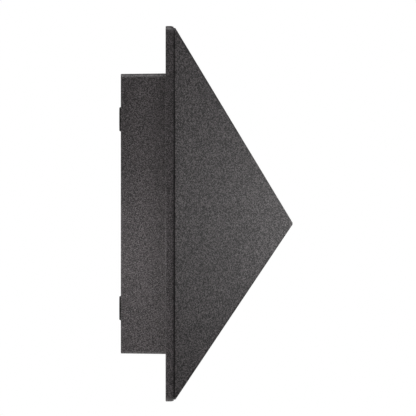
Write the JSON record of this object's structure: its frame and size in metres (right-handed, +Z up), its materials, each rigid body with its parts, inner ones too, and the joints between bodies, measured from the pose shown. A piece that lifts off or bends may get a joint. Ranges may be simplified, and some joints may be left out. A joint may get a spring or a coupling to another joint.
{
  "type": "outdoor wall light",
  "caption": "Outdoor wall light: shallow wall box behind a wider rim with a hollow pyramid front; an opal ring behind the rim lights the wall; the head pulls off for wiring.",
  "frame": {"origin": "on the wall plane, midway between the two wall screws", "axes": "+Z up, +Y into the wall, so the front of the light points along -Y; +X to the right seen from the room"},
  "size_m": [0.12, 0.093, 0.2],
  "materials": {
    "charcoal_powder_coat": "matte",
    "black_rubber": "matte",
    "grey_silicone": "matte",
    "zinc_plated_steel": "satin",
    "screw_steel": "satin",
    "tray_aluminium": "satin",
    "opal_acrylic": "satin",
    "white_board": "satin",
    "led_phosphor": "satin",
    "driver_plastic": "matte",
    "green_board": "satin",
    "grey_nylon": "matte",
    "orange_nylon": "satin",
    "ivory_nylon": "matte",
    "contact_brass": "satin",
    "brown_insulation": "satin",
    "blue_insulation": "satin",
    "green_yellow_insulation": "satin",
    "red_insulation": "satin",
    "black_insulation": "satin",
    "white_insulation": "satin"
  },
  "bodies": {
    "wall_box": {"box_shell": "charcoal_powder_coat", "back_plate": "zinc_plated_steel", "back_plate_seal": "grey_silicone", "back_plate_screws": "screw_steel", "wall_screw_bush_upper": "black_rubber", "wall_screw_bush_lower": "black_rubber", "cable_grommet": "black_rubber", "terminal_block": "grey_nylon", "terminal_contacts": "contact_brass", "lever_pin": "screw_steel", "earth_lug": "contact_brass", "earth_screw": "screw_steel", "earth_lead": "green_yellow_insulation", "live_lead": "brown_insulation", "neutral_lead": "blue_insulation", "driver_case": "driver_plastic", "driver_board": "green_board", "driver_lid": "driver_plastic", "driver_screws": "screw_steel", "output_socket": "ivory_nylon", "box_gasket": "black_rubber"},
    "head": {"led_tray": "tray_aluminium", "led_board_left": "white_board", "led_board_right": "white_board", "led_board_bottom": "white_board", "led_board_top": "white_board", "led_chips_left": "led_phosphor", "led_chips_right": "led_phosphor", "led_chips_bottom": "led_phosphor", "led_chips_top": "led_phosphor", "led_plug": "ivory_nylon", "plug_pins": "contact_brass", "led_lead_positive": "red_insulation", "led_lead_negative": "black_insulation", "board_jumpers": "white_insulation", "tray_screws": "screw_steel", "diffuser": "opal_acrylic", "diffuser_seal": "grey_silicone", "rim_frame": "charcoal_powder_coat", "rim_screws": "screw_steel", "front_cover": "charcoal_powder_coat"},
    "upper_grub_screw": {"set_screw_upper": "screw_steel"},
    "lower_grub_screw": {"set_screw_lower": "screw_steel"},
    "live_lever": {"lever_live": "orange_nylon"},
    "neutral_lever": {"lever_neutral": "orange_nylon"},
    "earth_lever": {"lever_earth": "orange_nylon"}
  },
  "joints": [
    {"name": "head_pull_off", "type": "slide", "parent": "wall_box", "child": "head", "axis": [0, -1, 0], "range_m": [0, 0.06]},
    {"name": "upper_grub_screw_travel", "type": "slide", "parent": "wall_box", "child": "upper_grub_screw", "axis": [0, 0, 1], "range_m": [0, 0.004]},
    {"name": "lower_grub_screw_travel", "type": "slide", "parent": "wall_box", "child": "lower_grub_screw", "axis": [0, 0, -1], "range_m": [0, 0.004]},
    {"name": "live_lever_turn", "type": "hinge", "parent": "wall_box", "child": "live_lever", "pos_m": [0.01041, -0.0111, 0.0199], "axis": [-1, 0, 0], "range_deg": [0, 85]},
    {"name": "neutral_lever_turn", "type": "hinge", "parent": "wall_box", "child": "neutral_lever", "pos_m": [0.01701, -0.0111, 0.0199], "axis": [-1, 0, 0], "range_deg": [0, 85]},
    {"name": "earth_lever_turn", "type": "hinge", "parent": "wall_box", "child": "earth_lever", "pos_m": [0.02361, -0.0111, 0.0199], "axis": [-1, 0, 0], "range_deg": [0, 85]}
  ]
}
